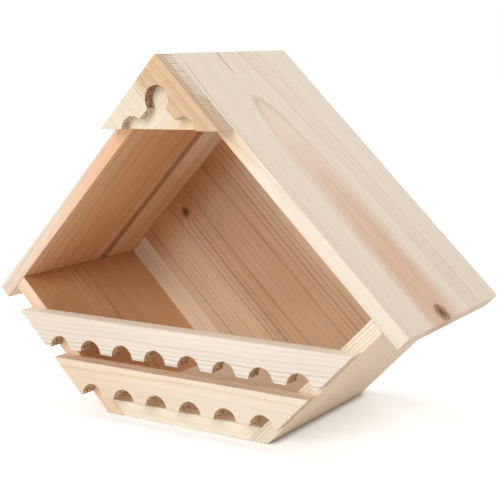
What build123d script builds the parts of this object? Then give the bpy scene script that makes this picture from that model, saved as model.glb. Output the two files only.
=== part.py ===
"""Dove nest box of plain pine boards: a square tube turned on its corner, open at the front."""
import os
from math import cos, radians, sin, sqrt, tan

from build123d import *

os.makedirs("parts", exist_ok=True)

# Driving sizes of the box, in millimetres and degrees
slope_angle = 45.0
ridge_height = 353.0
foot_width = 190.0
roof_depth = 192.0
board_thickness = 15.0
eave_overhang = 19.0
left_front_plank_width = 124.0

# Gable: a pierced board on a plain backing board
gable_height = 68.0
gable_board_thickness = 11.5
gable_backing_thickness = 11.5

# Scalloped boards across the front, stacked from the floor up
rail_thickness = 17.0
floor_gap = 5.5
lower_board_height = 34.0
lower_arch_count = 6
board_gap = 10.0
rail_height = 34.0
rail_arch_count = 8
arch_radius = 12.5
arch_pitch = 40.0
tab_ease_radius = 4.0

# Trefoil cut into the gable board, its heights taken from the board's bottom edge
foil_radius = 13.0
head_foil_rise = 27.5
side_foil_offset = 29.0
side_foil_drop = 0.5
neck_drop = 8.0
shoulder_half_width = 20.5

# The back lies on the back edges of the side boards, a little inside their outer faces,
# and is joined along a seam this far from the left side board's inner face
back_edge_inset = 5.0
back_seam_distance = 25.0

# How far a cutting tool runs past the face it leaves
cut_overrun = 2.0

# Directions, heights and depths that follow from the sizes above
run = cos(radians(slope_angle))
rise = sin(radians(slope_angle))
steep = tan(radians(slope_angle))
level_thickness = board_thickness / rise
plumb_thickness = board_thickness / run
half_foot = foot_width / 2
side_depth = roof_depth - board_thickness
overall_depth = roof_depth + gable_backing_thickness + gable_board_thickness
gable_front_y = -overall_depth / 2
backing_front_y = gable_front_y + gable_board_thickness
box_front_y = backing_front_y + gable_backing_thickness
box_back_y = box_front_y + roof_depth
side_back_y = box_front_y + side_depth
lower_board_bottom_height = board_thickness + floor_gap
lower_board_top_height = lower_board_bottom_height + lower_board_height
rail_bottom_height = lower_board_top_height + board_gap
rail_top_height = rail_bottom_height + rail_height
gable_bottom_height = ridge_height - gable_height
inner_ridge_height = ridge_height - plumb_thickness
inner_half_foot = half_foot - level_thickness


def outer_side_x(height, inset=0):
    """Half width of the box at a height, measured to the outer faces of the side boards."""
    return half_foot - inset / rise + height / steep


def roof_meets_side(inset):
    """Where a line parallel to a side board's outer face, this far inside it, meets the roof's inner face."""
    x = (inner_ridge_height + steep * (half_foot - inset / rise)) / (2 * steep)
    return x, inner_ridge_height - steep * x


def upright(y):
    """Upright plane facing the front, at a depth y."""
    return Plane.XZ.offset(-y)


def arch_centres(count):
    """Evenly pitched arch centres about the middle of the box."""
    return [arch_pitch * (index - (count - 1) / 2) for index in range(count)]


# Where the faces of the side boards meet the inner faces of the roof
outer_joint = roof_meets_side(0)
inner_joint = roof_meets_side(board_thickness)
roof_slope_length = (outer_joint[0] + board_thickness * rise) / run + eave_overhang

# Right roof board: runs up to the ridge and laps the left one
right_eave = (roof_slope_length * run, ridge_height - roof_slope_length * rise)
with BuildPart() as roof_right:
    with BuildSketch(upright(box_back_y)):
        with BuildLine():
            Polyline(
                (0, ridge_height),
                right_eave,
                (right_eave[0] - board_thickness * rise, right_eave[1] - board_thickness * run),
                (-board_thickness * rise, ridge_height - board_thickness * run),
                close=True,
            )
        make_face()
    extrude(amount=roof_depth)
roof_right.part.label = "roof_right"
export_step(roof_right.part, "parts/roof_right.step")

# Left roof: a front and a back plank, both butting against the inner face of the right board
left_roof_profile = [
    (-board_thickness * run, ridge_height - board_thickness * rise),
    (-right_eave[0], right_eave[1]),
    (-right_eave[0] + board_thickness * rise, right_eave[1] - board_thickness * run),
    (0, inner_ridge_height),
]
left_seam_y = box_front_y + left_front_plank_width
with BuildPart() as roof_left_front:
    with BuildSketch(upright(left_seam_y)):
        with BuildLine():
            Polyline(*left_roof_profile, close=True)
        make_face()
    extrude(amount=left_front_plank_width)
roof_left_front.part.label = "roof_left_front"
export_step(roof_left_front.part, "parts/roof_left_front.step")

with BuildPart() as roof_left_back:
    with BuildSketch(upright(box_back_y)):
        with BuildLine():
            Polyline(*left_roof_profile, close=True)
        make_face()
    extrude(amount=roof_depth - left_front_plank_width)
roof_left_back.part.label = "roof_left_back"
export_step(roof_left_back.part, "parts/roof_left_back.step")

# Side boards: top ends butt under the roof boards, bottoms cut level
with BuildPart() as side_right:
    with BuildSketch(upright(side_back_y)):
        with BuildLine():
            Polyline((half_foot, 0), outer_joint, inner_joint, (inner_half_foot, 0), close=True)
        make_face()
    extrude(amount=side_depth)
side_right.part.label = "side_right"
export_step(side_right.part, "parts/side_right.step")

with BuildPart() as side_left:
    with BuildSketch(upright(side_back_y)):
        with BuildLine():
            Polyline(
                (-half_foot, 0),
                (-outer_joint[0], outer_joint[1]),
                (-inner_joint[0], inner_joint[1]),
                (-inner_half_foot, 0),
                close=True,
            )
        make_face()
    extrude(amount=side_depth)
side_left.part.label = "side_left"
export_step(side_left.part, "parts/side_left.step")

# Floor board: its ends are bevelled to sit between the side boards
floor_top_half = inner_half_foot + board_thickness / steep
with BuildPart() as floor_board:
    with BuildSketch(upright(side_back_y)):
        with BuildLine():
            Polyline(
                (-inner_half_foot, 0),
                (inner_half_foot, 0),
                (floor_top_half, board_thickness),
                (-floor_top_half, board_thickness),
                close=True,
            )
        make_face()
    extrude(amount=side_depth)
floor_board.part.label = "floor_board"
export_step(floor_board.part, "parts/floor_board.step")

# Back: two boards under the roof, flush with its back edges, the seam running with the right slope
back_corner = roof_meets_side(back_edge_inset)
back_foot = outer_side_x(back_edge_inset, back_edge_inset)
seam_zero_x = back_seam_distance / rise - inner_half_foot
seam_foot = (seam_zero_x - back_edge_inset / steep, back_edge_inset)
seam_top_x = (seam_zero_x - inner_ridge_height / steep) / 2
seam_top = (seam_top_x, inner_ridge_height + steep * seam_top_x)
with BuildPart() as back_upper:
    with BuildSketch(upright(box_back_y)):
        with BuildLine():
            Polyline(
                (0, inner_ridge_height),
                back_corner,
                (back_foot, back_edge_inset),
                seam_foot,
                seam_top,
                close=True,
            )
        make_face()
    extrude(amount=board_thickness)
back_upper.part.label = "back_upper"
export_step(back_upper.part, "parts/back_upper.step")

with BuildPart() as back_lower:
    with BuildSketch(upright(box_back_y)):
        with BuildLine():
            Polyline(
                seam_foot,
                seam_top,
                (-back_corner[0], back_corner[1]),
                (-back_foot, back_edge_inset),
                close=True,
            )
        make_face()
    extrude(amount=board_thickness)
back_lower.part.label = "back_lower"
export_step(back_lower.part, "parts/back_lower.step")

# Gable boards: both triangles flush with the outer faces of the roof
gable_half_width = gable_height / steep
gable_outline = [
    (0, ridge_height),
    (gable_half_width, gable_bottom_height),
    (-gable_half_width, gable_bottom_height),
]
with BuildPart() as gable_backing:
    with BuildSketch(upright(box_front_y)):
        with BuildLine():
            Polyline(*gable_outline, close=True)
        make_face()
    extrude(amount=gable_backing_thickness)
gable_backing.part.label = "gable_backing"
export_step(gable_backing.part, "parts/gable_backing.step")

# The pierced gable board: a round head, a flared neck and two side lobes open at the bottom edge
cut_floor_height = gable_bottom_height - cut_overrun
head_foil_height = gable_bottom_height + head_foil_rise
side_foil_height = gable_bottom_height - side_foil_drop
neck_height = head_foil_height - neck_drop
neck_half_width = sqrt(foil_radius**2 - neck_drop**2)
shoulder_height = side_foil_height + sqrt(foil_radius**2 - (side_foil_offset - shoulder_half_width) ** 2)
with BuildPart() as gable_front:
    with BuildSketch(upright(backing_front_y)):
        with BuildLine():
            Polyline(*gable_outline, close=True)
        make_face()
    extrude(amount=gable_board_thickness)
    with BuildSketch(upright(backing_front_y + cut_overrun)):
        with Locations((0, head_foil_height)):
            Circle(foil_radius)
        with Locations((-side_foil_offset, side_foil_height), (side_foil_offset, side_foil_height)):
            Circle(foil_radius)
        with BuildLine():
            Polyline(
                (-neck_half_width, neck_height),
                (neck_half_width, neck_height),
                (shoulder_half_width, shoulder_height),
                (shoulder_half_width, cut_floor_height),
                (-shoulder_half_width, cut_floor_height),
                (-shoulder_half_width, shoulder_height),
                close=True,
            )
        make_face()
    extrude(amount=gable_board_thickness + 2 * cut_overrun, mode=Mode.SUBTRACT)
gable_front.part.label = "gable_front"
export_step(gable_front.part, "parts/gable_front.step")

# Upper front rail: ends flush with the side boards, scalloped along the bottom.
# On its right half the corner to the right of each inner arch is eased round
rail_centres = arch_centres(rail_arch_count)
eased_feet = [x + arch_radius for x in rail_centres[rail_arch_count // 2 : -1]]
with BuildPart() as upper_rail:
    with BuildSketch(upright(box_front_y)) as rail_face:
        with BuildLine():
            Polyline(
                (-outer_side_x(rail_bottom_height), rail_bottom_height),
                (outer_side_x(rail_bottom_height), rail_bottom_height),
                (outer_side_x(rail_top_height), rail_top_height),
                (-outer_side_x(rail_top_height), rail_top_height),
                close=True,
            )
        make_face()
        with Locations(*[(x, rail_bottom_height) for x in rail_centres]):
            Circle(arch_radius, mode=Mode.SUBTRACT)
        for foot in eased_feet:
            corner = rail_face.vertices().sort_by_distance((foot, rail_bottom_height, 0))[0]
            fillet(corner, radius=tab_ease_radius)
    extrude(amount=rail_thickness)
upper_rail.part.label = "upper_rail"
export_step(upper_rail.part, "parts/upper_rail.step")

# Lower front board: the same build, further down and shorter
with BuildPart() as lower_board:
    with BuildSketch(upright(box_front_y)):
        with BuildLine():
            Polyline(
                (-outer_side_x(lower_board_bottom_height), lower_board_bottom_height),
                (outer_side_x(lower_board_bottom_height), lower_board_bottom_height),
                (outer_side_x(lower_board_top_height), lower_board_top_height),
                (-outer_side_x(lower_board_top_height), lower_board_top_height),
                close=True,
            )
        make_face()
        with Locations(*[(x, lower_board_bottom_height) for x in arch_centres(lower_arch_count)]):
            Circle(arch_radius, mode=Mode.SUBTRACT)
    extrude(amount=rail_thickness)
lower_board.part.label = "lower_board"
export_step(lower_board.part, "parts/lower_board.step")
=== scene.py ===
"""Looks of a plain pine dove nest box: eased boards with grain, on a pale floor in soft studio light."""
import math

import bmesh
import bpy
from mathutils import Matrix, Vector


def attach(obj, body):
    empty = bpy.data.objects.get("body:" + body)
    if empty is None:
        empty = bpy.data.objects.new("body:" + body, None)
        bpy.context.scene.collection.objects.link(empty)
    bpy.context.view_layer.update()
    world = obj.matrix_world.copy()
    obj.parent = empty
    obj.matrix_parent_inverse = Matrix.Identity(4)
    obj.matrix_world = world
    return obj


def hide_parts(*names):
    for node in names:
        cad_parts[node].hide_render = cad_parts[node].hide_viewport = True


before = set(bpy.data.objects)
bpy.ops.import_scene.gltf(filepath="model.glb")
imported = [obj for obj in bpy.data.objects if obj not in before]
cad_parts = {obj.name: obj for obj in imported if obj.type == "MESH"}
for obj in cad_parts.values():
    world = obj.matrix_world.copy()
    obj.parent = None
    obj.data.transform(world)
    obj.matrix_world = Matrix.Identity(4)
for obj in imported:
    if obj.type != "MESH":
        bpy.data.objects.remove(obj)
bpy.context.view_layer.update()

MM = 0.001
HALF = math.sqrt(0.5)
DOWN_RIGHT = (HALF, 0.0, -HALF)
UP_RIGHT = (HALF, 0.0, HALF)
DOWN_LEFT = (-HALF, 0.0, -HALF)
UP_LEFT = (-HALF, 0.0, HALF)
ALONG_X = (1.0, 0.0, 0.0)
ALONG_Y = (0.0, 1.0, 0.0)
ALONG_Z = (0.0, 0.0, 1.0)
TOWARDS_FRONT = (0.0, -1.0, 0.0)


def span(node):
    """The low and the high corner of a CAD board, in mm."""
    places = [vertex.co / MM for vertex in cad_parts[node].data.vertices]
    return [Vector([pick(place[i] for place in places) for i in range(3)]) for pick in (min, max)]


# Places of the boards, read from the CAD frame
ROOF_LOW, ROOF_HIGH = span("roof_right")
FRONT_Y, BACK_Y, RIDGE_Z = ROOF_LOW.y, ROOF_HIGH.y, ROOF_HIGH.z
EAVE_X, EAVE_Z = ROOF_HIGH.x, RIDGE_Z - ROOF_HIGH.x
BACK_INNER_Y, INNER_RIDGE_Z = span("back_upper")[0].y, span("back_upper")[1].z
GABLE_LOW = span("gable_front")[0]
BACKING_LOW = span("gable_backing")[0]
RAIL_LOW, RAIL_HIGH = span("upper_rail")
LOWER_LOW, LOWER_HIGH = span("lower_board")
FOOT_X = RAIL_HIGH.x - RAIL_HIGH.z
EAVE_FROM = (RIDGE_Z - span("side_right")[1].z) / HALF
LEFT_SEAM = span("roof_left_front")[1].y - FRONT_Y

# Noise of the wood, in waves per mm along and across the grain
SLOW_WAVES, TREMBLE = (0.007, 0.022), (0.03, 0.22)
FIBRES, STREAKS, FLECKS = (0.05, 2.4), (0.004, 0.06), (0.14, 3.1)
HEART_STREAKS, LINE_BREAKS = (0.006, 0.3), (0.012, 0.3)
KNOT_EDGE, KNOT_GAPS = (0.13, 0.16), (0.2, 0.26)

# Knots: length over width, raggedness of the edge, how far and how much the rings swell round it,
# turns of its rings, and the colours of the rings, of the core and of the wood round it
KNOT_LENGTH, KNOT_RAGGED, KNOT_FALL, KNOT_SWELL, KNOT_TURNS = 1.15, 0.6, -0.45, 1.6, 15.5
KNOT_PALE, KNOT_DARK, KNOT_CORE, KNOT_HALO = "B5855A", "5C2A10", "3C1606", "C58F6B"

# Strength and depth of the grain's relief, and the sheen of planed pine
RELIEF, RELIEF_DEPTH = 0.35, 0.3 * MM
PINE_IOR, PINE_SPECULAR, PINE_ROUGHNESS = 1.45, 0.3, 0.6

# Shaping of the boards: the easing of every arris in mm and the steps of the roundings, the angles in degrees
# up to which an edge is dropped and above which it is eased, and the mm2 below which a face is shaded smooth
ARRIS_EASE, ARRIS_SEGMENTS, ROUND_SEGMENTS = 0.7, 2, 4
FLAT_EDGE, SHARP_EDGE, SMALL_FACE = 1.0, 25.0, 40.0


def linear(code):
    """A colour written as in a paint program, as the linear RGBA that the shader takes."""
    parts = [int(code[i : i + 2], 16) / 255 for i in (0, 2, 4)]
    return [p / 12.92 if p <= 0.04045 else ((p + 0.055) / 1.055) ** 2.4 for p in parts] + [1.0]


class Tree:
    """Short ways to add nodes to a node tree.

    Any input may be a number, a vector or another node's output."""

    def __init__(self, tree):
        self.tree = tree

    def node(self, kind, inputs=(), **settings):
        made = self.tree.nodes.new(kind)
        for name, value in settings.items():
            setattr(made, name, value)
        for key, value in dict(inputs).items():
            self.feed(made.inputs[key], value)
        return made

    def feed(self, socket, value):
        if isinstance(value, bpy.types.NodeSocket):
            self.tree.links.new(value, socket)
        elif value is not None:
            socket.default_value = value

    def math(self, operation, *values, clamp=False):
        return self.node("ShaderNodeMath", enumerate(values), operation=operation, use_clamp=clamp).outputs[0]

    def vector(self, operation, *values):
        made = self.node("ShaderNodeVectorMath", operation=operation)
        for index, value in enumerate(values):
            self.feed(made.inputs["Scale" if operation == "SCALE" and index == 1 else index], value)
        return made.outputs["Value" if operation in ("DOT_PRODUCT", "LENGTH") else "Vector"]

    def join(self, x, y, z):
        return self.node("ShaderNodeCombineXYZ", {"X": x, "Y": y, "Z": z}).outputs[0]

    def noise(self, vector, detail=2.0, roughness=0.5):
        made = self.node("ShaderNodeTexNoise", {"Vector": vector, "Scale": 1.0, "Detail": detail,
                                                "Roughness": roughness})
        return made.outputs["Fac"], made.outputs["Color"]

    def step(self, value, low, high, start=0.0, end=1.0):
        """A smooth step from start to end as value goes from low to high."""
        return self.node("ShaderNodeMapRange", {"Value": value, "From Min": low, "From Max": high,
                         "To Min": start, "To Max": end}, interpolation_type="SMOOTHSTEP").outputs[0]

    def bell(self, value, middle, width):
        """1 where value is at the middle, falling off smoothly to both sides."""
        off = self.math("DIVIDE", self.math("SUBTRACT", value, middle), width)
        return self.math("EXPONENT", self.math("MULTIPLY", self.math("MULTIPLY", off, off), -1.0))

    def mix(self, factor, first, second, blend="MIX"):
        made = self.node("ShaderNodeMix", data_type="RGBA", blend_type=blend)
        for index, value in ((0, factor), (6, first), (7, second)):
            self.feed(made.inputs[index], value)
        return made.outputs[2]


def sawn_grain():
    """The node group for sawn pine: growth rings about a pith, fibres, flecks, a knot, end grain, cuts.

    It works in the board's own millimetres: u along the grain, v across the face, w into it. Where a
    value's From is above its To, the change runs the other way along the board."""
    group = bpy.data.node_groups.new("sawn_pine", "ShaderNodeTree")
    t = Tree(group)
    kinds = {"V": "NodeSocketVector", "F": "NodeSocketFloat", "C": "NodeSocketColor"}
    for name, kind in (
        ("Origin", "V"), ("Grain", "V"), ("Width", "V"), ("Depth", "V"), ("Seed", "F"),
        ("Pith V", "F"), ("Lean V", "F"), ("Pith W", "F"), ("Lean W", "F"), ("Bend W", "F"),
        ("Ring", "F"), ("Fine Ring", "F"), ("Fine From", "F"), ("Uneven", "F"), ("Warp", "F"),
        ("Line", "F"), ("Late From", "F"), ("Rare", "F"), ("Band From", "F"), ("Band To", "F"), ("Calm", "F"),
        ("Quiet From", "F"), ("Quiet To", "F"), ("Sap Line", "F"),
        ("Sap", "C"), ("Heart", "C"), ("Late", "C"), ("Heart Radius", "F"), ("Heart Edge", "F"),
        ("Heart From", "F"), ("Heart To", "F"), ("Rim", "F"), ("Rim At", "F"), ("Rim To", "F"),
        ("Inner Rim At", "F"), ("Inner Rim To", "F"),
        ("Mark V", "F"), ("Mark From", "F"), ("Mark To", "F"), ("Mark Width", "F"),
        ("Streak", "F"), ("Tone", "C"), ("Tone From", "F"), ("Tone To", "F"),
        ("End", "C"), ("Cut", "F"), ("Cut Base", "C"), ("Cut Dark", "C"), ("Cut Cover", "F"),
        ("Knot U", "F"), ("Knot V", "F"), ("Knot Size", "F"),
    ):
        group.interface.new_socket(name=name, in_out="INPUT", socket_type=kinds[kind])
    for name, kind in (("Color", "C"), ("Roughness", "F"), ("Height", "F")):
        group.interface.new_socket(name=name, in_out="OUTPUT", socket_type=kinds[kind])
    given = t.node("NodeGroupInput").outputs
    m = t.math

    place = t.node("ShaderNodeTexCoord").outputs
    at = t.vector("SUBTRACT", t.vector("SCALE", place["Object"], 1 / MM), given["Origin"])
    u = t.vector("DOT_PRODUCT", at, given["Grain"])
    v = t.vector("DOT_PRODUCT", at, given["Width"])
    w = t.vector("DOT_PRODUCT", at, given["Depth"])
    seed = given["Seed"]

    def stretched(along, across):
        """The board's place squeezed along the grain, as a noise's input."""
        return t.join(m("ADD", m("MULTIPLY", u, along), seed),
                      m("ADD", m("MULTIPLY", v, across), seed), m("MULTIPLY", w, across))

    # Slow waves in the trunk and a finer tremble
    slow = t.node("ShaderNodeSeparateColor", {0: t.noise(stretched(*SLOW_WAVES), 1.0)[1]}).outputs
    fine = t.noise(stretched(*TREMBLE), 2.0)[0]
    wave_v = m("MULTIPLY", m("SUBTRACT", slow[0], 0.5), given["Warp"])
    wave_w = m("MULTIPLY", m("SUBTRACT", slow[1], 0.5), given["Warp"])
    tremble = m("MULTIPLY", m("SUBTRACT", fine, 0.5), m("MULTIPLY", given["Warp"], 0.16))

    # The knot, an oval a little longer along the grain
    size = m("MAXIMUM", given["Knot Size"], 0.001)
    knot_u = m("DIVIDE", m("SUBTRACT", u, given["Knot U"]), m("MULTIPLY", size, KNOT_LENGTH))
    knot_v = m("DIVIDE", m("SUBTRACT", v, given["Knot V"]), size)
    ragged = t.noise(stretched(*KNOT_EDGE), 2.0)[0]
    knot = m("ADD", m("SQRT", m("ADD", m("MULTIPLY", knot_u, knot_u), m("MULTIPLY", knot_v, knot_v))),
             m("MULTIPLY", m("SUBTRACT", ragged, 0.5), KNOT_RAGGED))
    swell = m("MULTIPLY", m("EXPONENT", m("MULTIPLY", m("MULTIPLY", knot, knot), KNOT_FALL)),
              m("MULTIPLY", given["Knot Size"], KNOT_SWELL))

    # Distance from the pith, which leans and bends along the board
    pith_v = m("ADD", given["Pith V"], m("MULTIPLY", given["Lean V"], u))
    pith_w = m("ADD", given["Pith W"],
               m("MULTIPLY", u, m("ADD", given["Lean W"], m("MULTIPLY", given["Bend W"], u))))
    side = m("ADD", m("SUBTRACT", v, pith_v), wave_v)
    deep = m("ADD", m("SUBTRACT", w, pith_w), wave_w)
    radius = m("SQRT", m("ADD", m("MULTIPLY", side, side), m("MULTIPLY", deep, deep)))
    radius = m("ADD", m("ADD", radius, tremble), swell)

    # Fibres, broad streaks and short resin flecks
    fibre = m("SUBTRACT", t.noise(stretched(*FIBRES), 3.0, 0.6)[0], 0.5)
    broad = m("SUBTRACT", t.noise(stretched(*STREAKS), 2.0)[0], 0.5)
    fleck = t.step(t.noise(stretched(*FLECKS), 1.0)[0], 0.68, 0.76)

    # Heartwood round the pith, changing along the board and streaked. On the back's inner face this zone is a
    # band of painted shade.
    heartwood_and_painted_shade = t.step(m("ADD", radius, m("MULTIPLY", broad, 10.0)),
                   m("SUBTRACT", given["Heart Radius"], given["Heart Edge"]),
                   m("ADD", given["Heart Radius"], given["Heart Edge"]), 1.0, 0.0)
    heartwood_and_painted_shade = m("MULTIPLY", heartwood_and_painted_shade, t.step(u, given["Heart From"], given["Heart To"], 0.6, 1.0))
    heartwood_and_painted_shade = m("MULTIPLY", heartwood_and_painted_shade, t.step(t.noise(stretched(*HEART_STREAKS), 2.0)[0], 0.3, 0.65, 0.7, 1.0))

    # Growth rings: each year has its own darkness and a crisp outer edge, and breaks up along the board
    uneven = t.noise(t.join(m("MULTIPLY", radius, 0.11), seed, seed), 1.0)[0]
    rings = m("ADD", m("DIVIDE", radius, given["Ring"]),
              m("MULTIPLY", m("SUBTRACT", uneven, 0.5), given["Uneven"]))
    extra = m("SUBTRACT", m("DIVIDE", 1.0, given["Fine Ring"]), m("DIVIDE", 1.0, given["Ring"]))
    beyond = m("MAXIMUM", m("SUBTRACT", radius, given["Fine From"]), 0.0)
    rings = m("ADD", rings, m("MULTIPLY", beyond, extra))
    year = m("FLOOR", rings)
    part = m("FRACT", rings)
    dice = t.node("ShaderNodeTexWhiteNoise", {"W": m("ADD", year, seed)}, noise_dimensions="1D")
    luck = dice.outputs["Value"]
    late = m("MULTIPLY", t.step(part, given["Late From"], 0.9), t.step(part, 0.92, 1.0, 1.0, 0.0))
    breaks = t.noise(stretched(*LINE_BREAKS), 2.0)[0]
    band = m("MULTIPLY", t.step(radius, given["Band From"], m("ADD", given["Band From"], 6.0)),
             t.step(radius, m("SUBTRACT", given["Band To"], 8.0), given["Band To"], 1.0, 0.0))
    strength = m("MULTIPLY", given["Line"],
                 m("ADD", given["Calm"], m("MULTIPLY", band, m("SUBTRACT", 1.0, given["Calm"]))))
    quiet = m("MULTIPLY", t.step(v, m("SUBTRACT", given["Quiet From"], 2.0), given["Quiet From"]),
              t.step(v, given["Quiet To"], m("ADD", given["Quiet To"], 2.0), 0.75, 0.0))
    strength = m("MULTIPLY", strength, m("SUBTRACT", 1.0, quiet))
    strength = m("MULTIPLY", strength,
                 m("ADD", given["Sap Line"], m("MULTIPLY", heartwood_and_painted_shade, m("SUBTRACT", 1.0, given["Sap Line"]))))
    late = m("MULTIPLY", late, m("MULTIPLY", m("ADD", 0.15, m("POWER", luck, given["Rare"])),
                                 t.step(breaks, 0.2, 0.75, 0.4, 1.2)))
    late = m("MULTIPLY", late, strength, clamp=True)

    # Colour: sapwood to heartwood, rings, crisp heartwood rims, flecks, a dark mark, a change of tone along
    # the board, which on some inner faces is painted shade
    color = t.mix(heartwood_and_painted_shade, given["Sap"], given["Heart"])
    color = t.mix(late, color, given["Late"])
    for rim_at, rim_to in (("Rim At", "Rim To"), ("Inner Rim At", "Inner Rim To")):
        rim = m("MULTIPLY", t.bell(radius, given[rim_at], 0.6),
                m("MULTIPLY", t.step(breaks, 0.35, 0.6, 0.4, 1.0),
                  t.step(u, m("MULTIPLY", given[rim_to], 0.5), given[rim_to], given["Rim"], 0.0)))
        color = t.mix(rim, color, given["Late"])
    color = t.mix(m("MULTIPLY", fleck, 0.25), color, given["Late"])
    mark_across = t.bell(m("ADD", v, m("MULTIPLY", wave_v, 0.5)), given["Mark V"], given["Mark Width"])
    mark_along = m("MULTIPLY", t.step(u, m("SUBTRACT", given["Mark From"], 6.0), given["Mark From"]),
                   t.step(u, given["Mark To"], m("ADD", given["Mark To"], 14.0), 1.0, 0.0))
    color = t.mix(m("MULTIPLY", m("MULTIPLY", mark_across, mark_along), 0.8), color, given["Late"])
    shade = m("ADD", 1.0, m("ADD", m("MULTIPLY", fibre, 0.22), m("MULTIPLY", broad, given["Streak"])))
    color = t.mix(1.0, color, t.join(shade, shade, shade), "MULTIPLY")
    tone_and_painted_shade = t.step(u, given["Tone From"], given["Tone To"])
    color = t.mix(tone_and_painted_shade, t.mix(1.0, color, given["Tone"], "MULTIPLY"), color)

    # Knot: broken rings and a dark core inside, a warm halo round it
    facing = m("ABSOLUTE", t.vector("DOT_PRODUCT", place["Normal"], given["Grain"]))
    end = t.step(facing, 0.35, 0.95)
    inside = m("MULTIPLY", t.step(knot, 0.75, 1.2, 1.0, 0.0), m("SUBTRACT", 1.0, end))
    swirl = m("ADD", 0.5, m("MULTIPLY", m("SINE", m("MULTIPLY", knot, KNOT_TURNS)), 0.5))
    swirl = m("MULTIPLY", swirl, t.step(t.noise(stretched(*KNOT_GAPS), 2.0)[0], 0.3, 0.52, 0.35, 1.0))
    core = t.mix(m("MULTIPLY", swirl, 0.95), linear(KNOT_PALE), linear(KNOT_DARK))
    core = t.mix(t.step(knot, 0.16, 0.5, 1.0, 0.0), core, linear(KNOT_CORE))
    color = t.mix(m("MULTIPLY", inside, 0.92), color, core)
    halo = t.step(knot, 1.0, 2.2, 0.3, 0.0)
    color = t.mix(m("MULTIPLY", halo, m("SUBTRACT", 1.0, inside)), color, linear(KNOT_HALO))

    # End grain where the face turns across the fibres, and the router's torn, scorched walls
    pores = t.noise(t.vector("SCALE", t.join(m("MULTIPLY", u, 0.4), v, w), 1.6), 3.0, 0.65)[0]
    dim = t.step(pores, 0.25, 0.75, 0.8, 1.08)
    end_color = t.mix(1.0, t.mix(1.0, color, given["End"], "MULTIPLY"), t.join(dim, dim, dim), "MULTIPLY")
    color = t.mix(end, color, end_color)
    torn = t.noise(t.join(m("ADD", m("MULTIPLY", u, 0.75), m("MULTIPLY", w, 0.4)), m("MULTIPLY", v, 0.75),
                          m("MULTIPLY", w, 0.08)), 1.5, 0.6)[0]
    cover = given["Cut Cover"]
    hatch = m("MULTIPLY", t.step(torn, m("SUBTRACT", cover, 0.03), m("ADD", cover, 0.05)), given["Cut"])
    color = t.mix(m("MULTIPLY", given["Cut"], 0.75), color, given["Cut Base"])
    color = t.mix(m("MULTIPLY", hatch, 0.85), color, given["Cut Dark"])

    # Relief and roughness
    height = m("ADD", m("ADD", m("MULTIPLY", late, 0.35), m("MULTIPLY", fibre, 0.55)),
               m("ADD", m("MULTIPLY", inside, m("MULTIPLY", swirl, -0.5)), m("MULTIPLY", hatch, -0.8)))
    rough = m("ADD", PINE_ROUGHNESS, m("ADD", m("MULTIPLY", fibre, 0.14), m("MULTIPLY", late, -0.06)))
    result = t.node("NodeGroupOutput").inputs
    t.feed(result["Color"], color)
    t.feed(result["Roughness"], rough)
    t.feed(result["Height"], height)
    return group


PINE = sawn_grain()
# What a board has unless its own row says otherwise
PLAIN = {
    "Lean V": 0.0, "Lean W": 0.0, "Bend W": 0.0, "Ring": 5.0, "Fine Ring": 4.0, "Fine From": 1000.0,
    "Uneven": 1.2, "Warp": 6.0, "Line": 0.5, "Late From": 0.55, "Rare": 2.0,
    "Band From": -100.0, "Band To": 1000.0, "Calm": 0.0,
    "Quiet From": -2000.0, "Quiet To": -1900.0, "Sap Line": 1.0,
    "Heart": "DDB89C", "Late": "B98A62", "Heart Radius": 0.0, "Heart Edge": 6.0, "Heart From": -1000.0,
    "Heart To": -999.0, "Rim": 0.0, "Rim At": 0.0, "Rim To": 1.0,
    "Inner Rim At": 0.0, "Inner Rim To": 1.0,
    "Mark V": 0.0, "Mark From": 0.0, "Mark To": -40.0, "Mark Width": 1.2,
    "Streak": 0.25, "Tone": "FFFFFF", "Tone From": 0.0, "Tone To": 1.0, "End": "D9B48E",
    "Cut": 0.0, "Cut Base": "C29A73", "Cut Dark": "55391F", "Cut Cover": 0.55,
    "Knot U": 0.0, "Knot V": 0.0, "Knot Size": 0.0,
}


def pine(name, values):
    """One board's material: the shared pine with this board's axes, pith, rings and colours."""
    material = bpy.data.materials.new(name)
    material.use_nodes = True
    t = Tree(material.node_tree)
    t.tree.nodes.clear()
    wood = t.node("ShaderNodeGroup", node_tree=PINE)
    for key, value in {**PLAIN, **values}.items():
        wood.inputs[key].default_value = linear(value) if isinstance(value, str) else value
    bump = t.node("ShaderNodeBump", {
        "Height": wood.outputs["Height"], "Strength": RELIEF, "Distance": RELIEF_DEPTH})
    shader = t.node("ShaderNodeBsdfPrincipled", {
        "Base Color": wood.outputs["Color"], "Roughness": wood.outputs["Roughness"],
        "Normal": bump.outputs[0], "IOR": PINE_IOR, "Specular IOR Level": PINE_SPECULAR})
    t.node("ShaderNodeOutputMaterial", {"Surface": shader.outputs[0]})
    return material


def axes(grain, width, depth, origin):
    """A board's own axes u, v and w and the place in mm they start from."""
    return {"Grain": grain, "Width": width, "Depth": depth, "Origin": origin}


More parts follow.
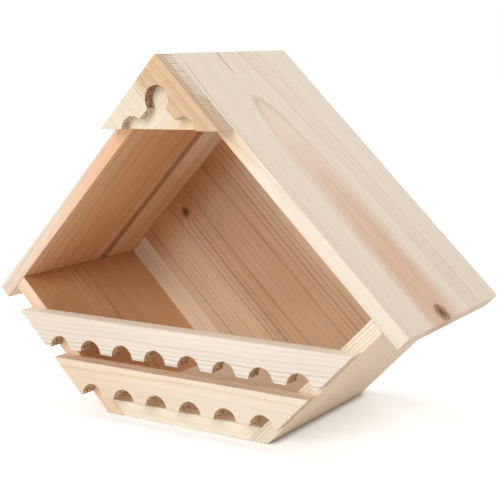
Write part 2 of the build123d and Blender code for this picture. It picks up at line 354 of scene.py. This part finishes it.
# Colours of the boards whose outer faces the photo doesn't show
PALE = {"Sap": "EDDECB", "Heart": "E6C9AF", "Late": "BE9674", "Line": 0.4}
BOARDS = {
    "roof_right": {
        **axes(DOWN_RIGHT, ALONG_Y, DOWN_LEFT, (0.0, FRONT_Y, RIDGE_Z)), "Seed": 3.1,
        "Pith V": 75.0, "Pith W": 50.6, "Lean W": -0.1607, "Bend W": 2.6e-4, "Ring": 10.3, "Fine Ring": 4.4,
        "Fine From": 50.0, "Line": 0.75, "Late From": 0.6, "Rare": 0.8, "Warp": 4.0, "Uneven": 0.8,
        "Band From": 54.0, "Band To": 86.0, "Calm": 0.16, "Quiet From": 12.0, "Quiet To": 60.0,
        "Sap": "EADAC7", "Heart": "DCB295", "Late": "B08A6E", "Heart Radius": 37.0, "Heart Edge": 11.0,
        "Heart From": 60.0, "Heart To": 290.0, "Rim": 0.4, "Rim At": 41.2, "Rim To": 170.0,
        "Inner Rim At": 31.0, "Inner Rim To": 230.0,
        "Streak": 0.12, "Knot U": 327.0, "Knot V": 78.0, "Knot Size": 9.0,
        "Mark V": 72.0, "Mark To": 20.0, "Mark Width": 1.4, "End": "FAF2E6"},
    "roof_left_front": {
        **axes(DOWN_LEFT, ALONG_Y, DOWN_RIGHT, (0.0, FRONT_Y, RIDGE_Z)), "Seed": 7.7,
        "Pith V": 70.0, "Pith W": 70.0, "Lean W": 0.03, "Ring": 6.0, "Rare": 2.0, "Heart Radius": 74.0,
        "Heart Edge": 12.0, **PALE, "End": "E0D0BA"},
    "roof_left_back": {
        **axes(DOWN_LEFT, ALONG_Y, DOWN_RIGHT, (0.0, FRONT_Y, RIDGE_Z)), "Seed": 9.2,
        "Pith V": 240.0, "Pith W": 40.0, "Ring": 7.0, **PALE, "End": "E0D0BA"},
    "side_right": {
        **axes(UP_RIGHT, ALONG_Y, UP_LEFT, (FOOT_X, FRONT_Y, 0.0)), "Seed": 12.4,
        "Pith V": 70.0, "Pith W": 95.0, "Ring": 5.0, "Line": 0.25, "Rare": 3.0, "Streak": 0.12,
        "Sap": "ECD7BC", "Late": "C79F74"},
    "side_left": {
        **axes(UP_LEFT, ALONG_Y, UP_RIGHT, (-FOOT_X, FRONT_Y, 0.0)), "Seed": 15.9,
        "Pith V": -200.0, "Pith W": 40.0, "Ring": 4.0, "Late From": 0.45, "Rare": 0.7, "Warp": 3.0,
        "Band From": 264.0, "Band To": 318.0, "Calm": 0.12, "Heart Radius": 255.0, "Heart Edge": 30.0,
        **PALE},
    # Painted light: the pale Sap lifts the floor board's front edge, which lies in shade under the lower
    # board.
    "floor_board": {
        **axes(ALONG_X, ALONG_Y, ALONG_Z, (0.0, FRONT_Y, 0.0)), "Seed": 18.3,
        "Pith V": 90.0, "Pith W": -70.0, "Ring": 6.0, "Line": 0.3, "Sap": "FFF4DE", "Late": "D9B88C"},
    "back_upper": {
        **axes(DOWN_RIGHT, UP_RIGHT, ALONG_Y, (0.0, BACK_INNER_Y, INNER_RIDGE_Z)), "Seed": 21.6,
        "Pith V": -160.0, "Pith W": -30.0, "Ring": 5.0, "Late From": 0.5, "Rare": 1.0, "Warp": 5.0,
        "Knot U": 20.8, "Knot V": -196.3, "Knot Size": 6.0, **PALE},
    "back_lower": {
        **axes(DOWN_RIGHT, UP_RIGHT, ALONG_Y, (0.0, BACK_INNER_Y, INNER_RIDGE_Z)), "Seed": 24.0,
        "Pith V": -330.0, "Pith W": 40.0, "Ring": 5.0, "Rare": 2.4, **PALE},
    "gable_backing": {
        **axes(UP_RIGHT, DOWN_RIGHT, ALONG_Y, (0.0, BACKING_LOW.y, BACKING_LOW.z)), "Seed": 27.7,
        "Pith V": 50.0, "Pith W": -14.0, "Ring": 3.4, "Line": 0.45, "Rare": 1.4, "Uneven": 0.9, "Warp": 3.0,
        "Sap": "EBDDC4", "Heart": "E5C6A1", "Late": "C19E76", "Heart Radius": 49.0, "Heart Edge": 8.0,
        "End": "E6DCD0"},
    "gable_front": {
        **axes(DOWN_RIGHT, UP_RIGHT, ALONG_Y, (0.0, GABLE_LOW.y, GABLE_LOW.z)), "Seed": 30.5,
        "Pith V": 120.0, "Pith W": 25.0, "Ring": 3.0, "Line": 0.7, "Late From": 0.45, "Rare": 1.0,
        "Warp": 3.0, "Uneven": 0.8, "Sap": "ECDCC5", "Heart": "D8B18B", "Late": "966742", "Sap Line": 0.5,
        "Heart Radius": 108.0, "Heart Edge": 9.0, "End": "DDBD9E"},
    "upper_rail": {
        **axes(ALONG_X, ALONG_Z, ALONG_Y, (0.0, RAIL_LOW.y, RAIL_LOW.z)), "Seed": 33.3,
        "Pith V": -110.0, "Pith W": 20.0, "Lean V": 0.012, "Ring": 4.4, "Line": 0.5, "Late From": 0.45,
        "Rare": 1.1, "Warp": 7.0, "Uneven": 1.0, "Sap": "F0E4D6", "Late": "A88B75",
        "Tone": "FEFBF8", "Tone From": -190.0, "Tone To": 60.0},
    "lower_board": {
        **axes(ALONG_X, ALONG_Z, ALONG_Y, (0.0, LOWER_LOW.y, LOWER_LOW.z)), "Seed": 36.8,
        "Pith V": -60.0, "Pith W": -40.0, "Ring": 6.5, "Line": 0.38, "Late From": 0.3, "Rare": 1.3,
        "Warp": 12.0, "Sap": "F4E4CE", "Late": "DDB48C",
        "Tone": "FAF3EB", "Tone From": -150.0, "Tone To": 80.0},
}
# Faces that look unlike the rest of their board: (node, facing) and what differs there. Most rows are a
# face's own colour. On the inner faces a browner, darker colour is painted shade, and on the tops of the
# rail, the lower board and the floor a paler colour is painted light.
FACE_COLOURS_AND_PAINTED_LIGHT = {
    ("roof_right", TOWARDS_FRONT): {
        "Sap": "F1E3D1", "Heart Radius": 0.0, "Rim": 0.0, "Line": 0.15, "Knot Size": 0.0,
        "Tone": "FAEEDC", "Tone From": 100.0, "Tone To": 150.0},
    ("roof_left_front", TOWARDS_FRONT): {
        "Sap": "EBDAC7", "Heart": "EFC9AA", "Heart Radius": 94.0, "Heart Edge": 4.0, "Heart From": 310.0,
        "Heart To": 150.0, "Lean W": 0.0, "Late": "C99A78", "Line": 0.3,
        "Tone": "FFEADB", "Tone From": 95.0, "Tone To": 225.0},
    ("roof_right", DOWN_RIGHT): {"Sap": "E9DACE", "Heart": "DBC4B4", "Rim": 0.0},
    # Painted shade: the inner face of the right roof is browner and darker than its outer face.
    ("roof_right", DOWN_LEFT): {"Sap": "EFCDA8", "Heart": "E6B890", "Late": "9A6236", "Mark To": -40.0},
    # Painted shade: the left roof's inner face is browner, and its Tone darkens it further inside the box, up
    # to where the eave runs out past the side board. The Mark is a dark band along the seam between the
    # planks.
    ("roof_left_front", DOWN_RIGHT): {
        "Sap": "EBD5BE", "Heart": "E2C2A4", "Late": "8F5C38", "Line": 0.4,
        "Tone": "FFE5CA", "Tone From": EAVE_FROM, "Tone To": EAVE_FROM + 4.0,
        "Mark V": LEFT_SEAM - 2.0, "Mark To": 400.0, "Mark Width": 4.0},
    # Painted light and shade: the pale Sap lifts this shaded inner face, and the Tone darkens it again lower
    # down the slope, from 80 mm and fully beyond 190 mm.
    ("roof_left_back", DOWN_RIGHT): {
        "Sap": "FFEDD4", "Late": "8E5A2E", "Line": 0.3, "Tone": "ECD4BA", "Tone From": 190.0, "Tone To": 80.0,
        "Mark V": LEFT_SEAM + 2.0, "Mark To": 400.0, "Mark Width": 3.5},
    ("side_left", TOWARDS_FRONT): {
        "Sap": "F4D6BA", "Heart": "F4D6BA", "Late": "CFA27A", "Line": 0.4, "Calm": 1.0},
    # Painted shade: the inner face of the left side is browner, and darker again from 140 mm up the board,
    # fully beyond 178 mm.
    ("side_left", UP_RIGHT): {
        "Sap": "E0B48D", "Heart": "D4A175", "Late": "7A4119", "Line": 0.65,
        "Tone": "E8CDB2", "Tone From": 178.0, "Tone To": 140.0},
    # Painted shade: the inner face of the right side is browner than its outer face.
    ("side_right", UP_LEFT): {"Sap": "EFCDA8", "Late": "9A6236", "Line": 0.4},
    ("side_right", TOWARDS_FRONT): {"Sap": "F8EAD4", "Late": "C59C6C", "Line": 0.7, "Ring": 2.8, "Rare": 1.2},
    # Painted shade: the inner face of the back is browner, its Tone darkens the top 50 mm under the ridge,
    # and its heartwood zone is a band of painted shade running parallel to the right roof.
    ("back_upper", TOWARDS_FRONT): {
        "Sap": "E9CCAB", "Heart": "CFA987", "Heart Radius": 54.0, "Heart Edge": 16.0, "Heart From": 215.0,
        "Heart To": 165.0, "Late": "9E6C3A", "Line": 0.5, "Streak": 0.35,
        "Tone": "E6C8A8", "Tone From": 5.0, "Tone To": 50.0},
    ("back_lower", TOWARDS_FRONT): {"Sap": "F3DFC6", "Late": "B58A60", "Line": 0.3},
    # Painted light: the floor's top is paler, to lift it where it lies in the box's shade behind the
    # scallops.
    ("floor_board", ALONG_Z): {"Sap": "FFF5E4", "Late": "B58454", "Line": 0.5},
    ("gable_front", UP_RIGHT): {
        "Pith V": 60.0, "Pith W": -30.0, "Heart": "D7B391", "Late": "7A5333", "Line": 1.0, "Ring": 3.2,
        "Rare": 0.5, "Warp": 5.0},
    ("gable_front", UP_LEFT): {"Sap": "F0E2CE", "Heart": "EBD2B6", "Line": 0.4, "End": "F4E8D8"},
    ("gable_backing", UP_RIGHT): {
        "Sap": "EEE5D7", "Heart": "E0C6AA", "Late": "6F5B4A", "Line": 0.95, "Late From": 0.55, "Rare": 0.7,
        "End": "F4ECE4"},
    # Painted light: the rail's top is paler than its front, to lift it in the shade under the roof.
    ("upper_rail", ALONG_Z): {"Sap": "FFF4E2", "Late": "C9A98C", "Line": 0.3, "Tone": "FAFAFC"},
    # Painted light: the lower board's top is paler than its front, to lift it in the shade under the rail.
    # Its finer, darker rings are grain.
    ("lower_board", ALONG_Z): {"Sap": "FFEAD2", "Late": "BC7C4C", "Line": 0.75, "Ring": 3.0, "Rare": 1.4},
}

# Outlines of the boards with cut-outs, as (x factor, z factor, offset in mm), and how far off them in mm a
# wall has to be to count as routed
ROUTED = {
    "gable_front": [(1, 1, RIDGE_Z), (-1, 1, RIDGE_Z), (0, 1, GABLE_LOW.z)],
    "upper_rail": [(1, -1, FOOT_X), (-1, -1, FOOT_X), (0, 1, RAIL_LOW.z), (0, 1, RAIL_HIGH.z)],
    "lower_board": [(1, -1, FOOT_X), (-1, -1, FOOT_X), (0, 1, LOWER_LOW.z), (0, 1, LOWER_HIGH.z)],
}
OFF_OUTLINE = 0.5
# The walls of the gable's cut-out above this rise in mm are the scorched round head
HEAD_CUT_RISE = 19.0
CUTS = {
    "arch_cut": {"Cut": 1.0, "Cut Base": "E2C19B", "Cut Dark": "3E2614", "Cut Cover": 0.55},
    "head_cut": {"Cut": 1.0, "Cut Base": "B98E67", "Cut Dark": "553822", "Cut Cover": 0.52},
    "lobe_cut": {"Cut": 1.0, "Cut Base": "EAD8BC", "Cut Dark": "927A5C", "Cut Cover": 0.53},
}
# Edges worn rounder than the rest: the node, a point near the edge's middle in mm, the radius in mm
ROUNDED = [
    ("roof_right", (0.0, BACK_Y, RIDGE_Z), 3.5),
    ("roof_right", (EAVE_X, BACK_Y, EAVE_Z), 3.5),
    ("roof_right", (EAVE_X, (FRONT_Y + BACK_Y) / 2, EAVE_Z), 2.0),
    ("roof_left_front", (-EAVE_X, FRONT_Y / 2, EAVE_Z), 2.0),
    ("roof_left_back", (-EAVE_X, BACK_Y / 2, EAVE_Z), 2.0),
]


def round_off(bm, edges, radius, segments):
    """Round some edges of a board by a radius in mm."""
    bmesh.ops.bevel(bm, geom=edges, offset=radius * MM, offset_type="OFFSET", segments=segments, profile=0.5,
                    affect="EDGES", clamp_overlap=True, material=-1)
    bm.normal_update()


def face_colour_and_painted_light_of(node, face):
    """The name and the changed values of the look of one face of a board: a routed cut, the face's own
    colour, or its painted shade or painted light.
    """
    at = face.calc_center_median() / MM
    offs = [abs(fx * at.x + fz * at.z - off) for fx, fz, off in ROUTED.get(node, [])]
    if offs and abs(face.normal.y) < 0.5 and min(offs) > OFF_OUTLINE:
        cut = "arch_cut"
        if node == "gable_front":
            cut = "head_cut" if at.z > GABLE_LOW.z + HEAD_CUT_RISE else "lobe_cut"
        return cut, CUTS[cut]
    for index, ((name, facing), changes) in enumerate(FACE_COLOURS_AND_PAINTED_LIGHT.items()):
        if name == node and face.normal.dot(facing) > 0.99:
            return f"finish_{index}", changes
    return "pine", {}


def eased(node):
    """The CAD board with its arrises rubbed round, in the same place, each face with its own colour, some
    faces with painted shade or painted light.
    """
    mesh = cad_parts[node].data.copy()
    mesh.materials.clear()
    if "custom_normal" in mesh.attributes:
        mesh.attributes.remove(mesh.attributes["custom_normal"])
    bm = bmesh.new()
    bm.from_mesh(mesh)
    bmesh.ops.remove_doubles(bm, verts=bm.verts, dist=1e-6)
    bmesh.ops.dissolve_limit(bm, angle_limit=math.radians(FLAT_EDGE), verts=bm.verts, edges=bm.edges)
    for edge in bm.edges:
        edge.smooth = True
    bm.normal_update()
    colours_and_painted_light = []
    for face in bm.faces:
        finish, changes = face_colour_and_painted_light_of(node, face)
        if finish not in colours_and_painted_light:
            colours_and_painted_light.append(finish)
            mesh.materials.append(pine(f"{node}_{finish}", {**BOARDS[node], **changes}))
        face.material_index = colours_and_painted_light.index(finish)
    for name, point, radius in ROUNDED:
        if name == node:
            place = Vector(point) * MM
            nearest = min(bm.edges, key=lambda e: ((e.verts[0].co + e.verts[1].co) / 2 - place).length)
            round_off(bm, [nearest], radius, ROUND_SEGMENTS)
    turn = math.radians(SHARP_EDGE)
    sharp = [e for e in bm.edges if len(e.link_faces) == 2 and e.calc_face_angle() > turn]
    round_off(bm, sharp, ARRIS_EASE, ARRIS_SEGMENTS)
    for face in bm.faces:
        face.smooth = face.calc_area() < SMALL_FACE * MM * MM
    bm.to_mesh(mesh)
    bm.free()
    piece = bpy.data.objects.new(node + "_eased", mesh)
    bpy.context.scene.collection.objects.link(piece)
    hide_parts(node)
    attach(piece, "root")


for node in BOARDS:
    eased(node)

# Camera at the photograph's viewing angle
CAMERA_AT = (0.64388, -0.91372, 0.35291)
AZIMUTH, ELEVATION, ROLL = (math.radians(a) for a in (34.150, 9.868, -1.527))
FOCAL_PIXELS, FRAME_PIXELS, SENSOR = 1142.18, 500, 36.0
ahead = Vector((-math.sin(AZIMUTH) * math.cos(ELEVATION), math.cos(AZIMUTH) * math.cos(ELEVATION),
                -math.sin(ELEVATION)))
level = Vector((math.cos(AZIMUTH), math.sin(AZIMUTH), 0.0))
upward = level.cross(ahead)
right = level * math.cos(ROLL) + upward * math.sin(ROLL)
top = upward * math.cos(ROLL) - level * math.sin(ROLL)
camera = bpy.data.objects.new("camera", bpy.data.cameras.new("camera"))
camera.data.lens = FOCAL_PIXELS / FRAME_PIXELS * SENSOR
camera.data.sensor_width = SENSOR
camera.matrix_world = Matrix.Translation(CAMERA_AT) @ Matrix((right, top, -ahead)).transposed().to_4x4()
bpy.context.scene.collection.objects.link(camera)
bpy.context.scene.camera = camera

# Pale floor that glows a little, more so far off, and less where the box comes close to it, which paints a
# contact shadow round the box. Each pair of levels is for the light it throws and for the camera; NEAR and
# FAR are a distance in m and the glow there
WHITE = (1.0, 1.0, 1.0, 1.0)
FLOOR_REACH, CONTACT_SHADOW_REACH = 12.0, 0.01
PAINT = (0.85, 0.85, 0.85, 1.0), (1.1, 1.1, 1.1, 1.0)
GLOW_SHARE = 0.15, 0.26
NEAR, FAR = (0.3, 1.5), (1.6, 3.1)
floor_mesh = bpy.data.meshes.new("floor")
corners = [(x * FLOOR_REACH, y * FLOOR_REACH, 0) for x, y in ((-1, -1), (1, -1), (1, 1), (-1, 1))]
floor_mesh.from_pydata(corners, [], [(0, 1, 2, 3)])
floor = bpy.data.objects.new("floor", floor_mesh)
bpy.context.scene.collection.objects.link(floor)
floor_material = bpy.data.materials.new("floor")
floor_material.use_nodes = True
t = Tree(floor_material.node_tree)
t.tree.nodes.clear()
seen = t.node("ShaderNodeLightPath").outputs["Is Camera Ray"]
paint = t.node("ShaderNodeBsdfDiffuse", {"Color": t.mix(seen, *PAINT)})
away = t.vector("LENGTH", t.node("ShaderNodeTexCoord").outputs["Object"])
# Painted contact shadow: the glow fades where the box hems the floor in, within a centimetre.
contact_shadow_ao = t.node("ShaderNodeAmbientOcclusion", {"Distance": CONTACT_SHADOW_REACH}).outputs["AO"]
glow_with_painted_contact_shadow = t.math("MULTIPLY", t.step(away, NEAR[0], FAR[0], NEAR[1], FAR[1]), t.step(contact_shadow_ao, 0.1, 0.7))
glow = t.node("ShaderNodeEmission", {"Color": WHITE, "Strength": glow_with_painted_contact_shadow})
share = t.step(seen, 0.0, 1.0, *GLOW_SHARE)
lifted = t.node("ShaderNodeMixShader", {0: share, 1: paint.outputs[0], 2: glow.outputs[0]})
t.node("ShaderNodeOutputMaterial", {"Surface": lifted.outputs[0]})
floor_mesh.materials.append(floor_material)

# Soft studio light: a pale dome, seen as white, a key lamp above the mouth and fill lamps at the sides
# and back
world = bpy.data.worlds.new("studio")
world.use_nodes = True
bpy.context.scene.world = world
t = Tree(world.node_tree)
t.tree.nodes.clear()
path = t.node("ShaderNodeLightPath").outputs
mirrored = t.math("MAXIMUM", path["Is Glossy Ray"], path["Is Transmission Ray"])
seen = t.math("MAXIMUM", path["Is Camera Ray"], mirrored)
DOME = 0.34
strength = t.node("ShaderNodeMapRange", {"Value": seen, "To Min": DOME, "To Max": 1.0}).outputs[0]
sky = t.node("ShaderNodeBackground", {"Color": WHITE, "Strength": strength})
t.node("ShaderNodeOutputWorld", {"Surface": sky.outputs[0]})


def lamp(name, size, watts, place, target):
    """A soft square lamp of a size at a place, turned to a target, all in metres."""
    made = bpy.data.objects.new(name, bpy.data.lights.new(name, "AREA"))
    made.data.size = size
    made.data.energy = watts
    made.location = place
    made.rotation_euler = (Vector(target) - Vector(place)).to_track_quat("-Z", "Y").to_euler()
    bpy.context.scene.collection.objects.link(made)


lamp("front_lamp", size=1.1, watts=21.0, place=(0.0, -1.85, 1.15), target=(0.0, 0.0, 0.15))
lamp("right_lamp", size=1.0, watts=12.5, place=(1.5, 0.2, 1.6), target=(0.0, 0.0, 0.2))
lamp("left_lamp", size=1.0, watts=11.0, place=(-1.5, 0.2, 1.6), target=(0.0, 0.0, 0.2))
lamp("back_lamp", size=1.2, watts=12.0, place=(-0.3, 2.0, 1.1), target=(0.0, 0.0, 0.18))

bpy.context.scene.view_settings.view_transform = "Standard"
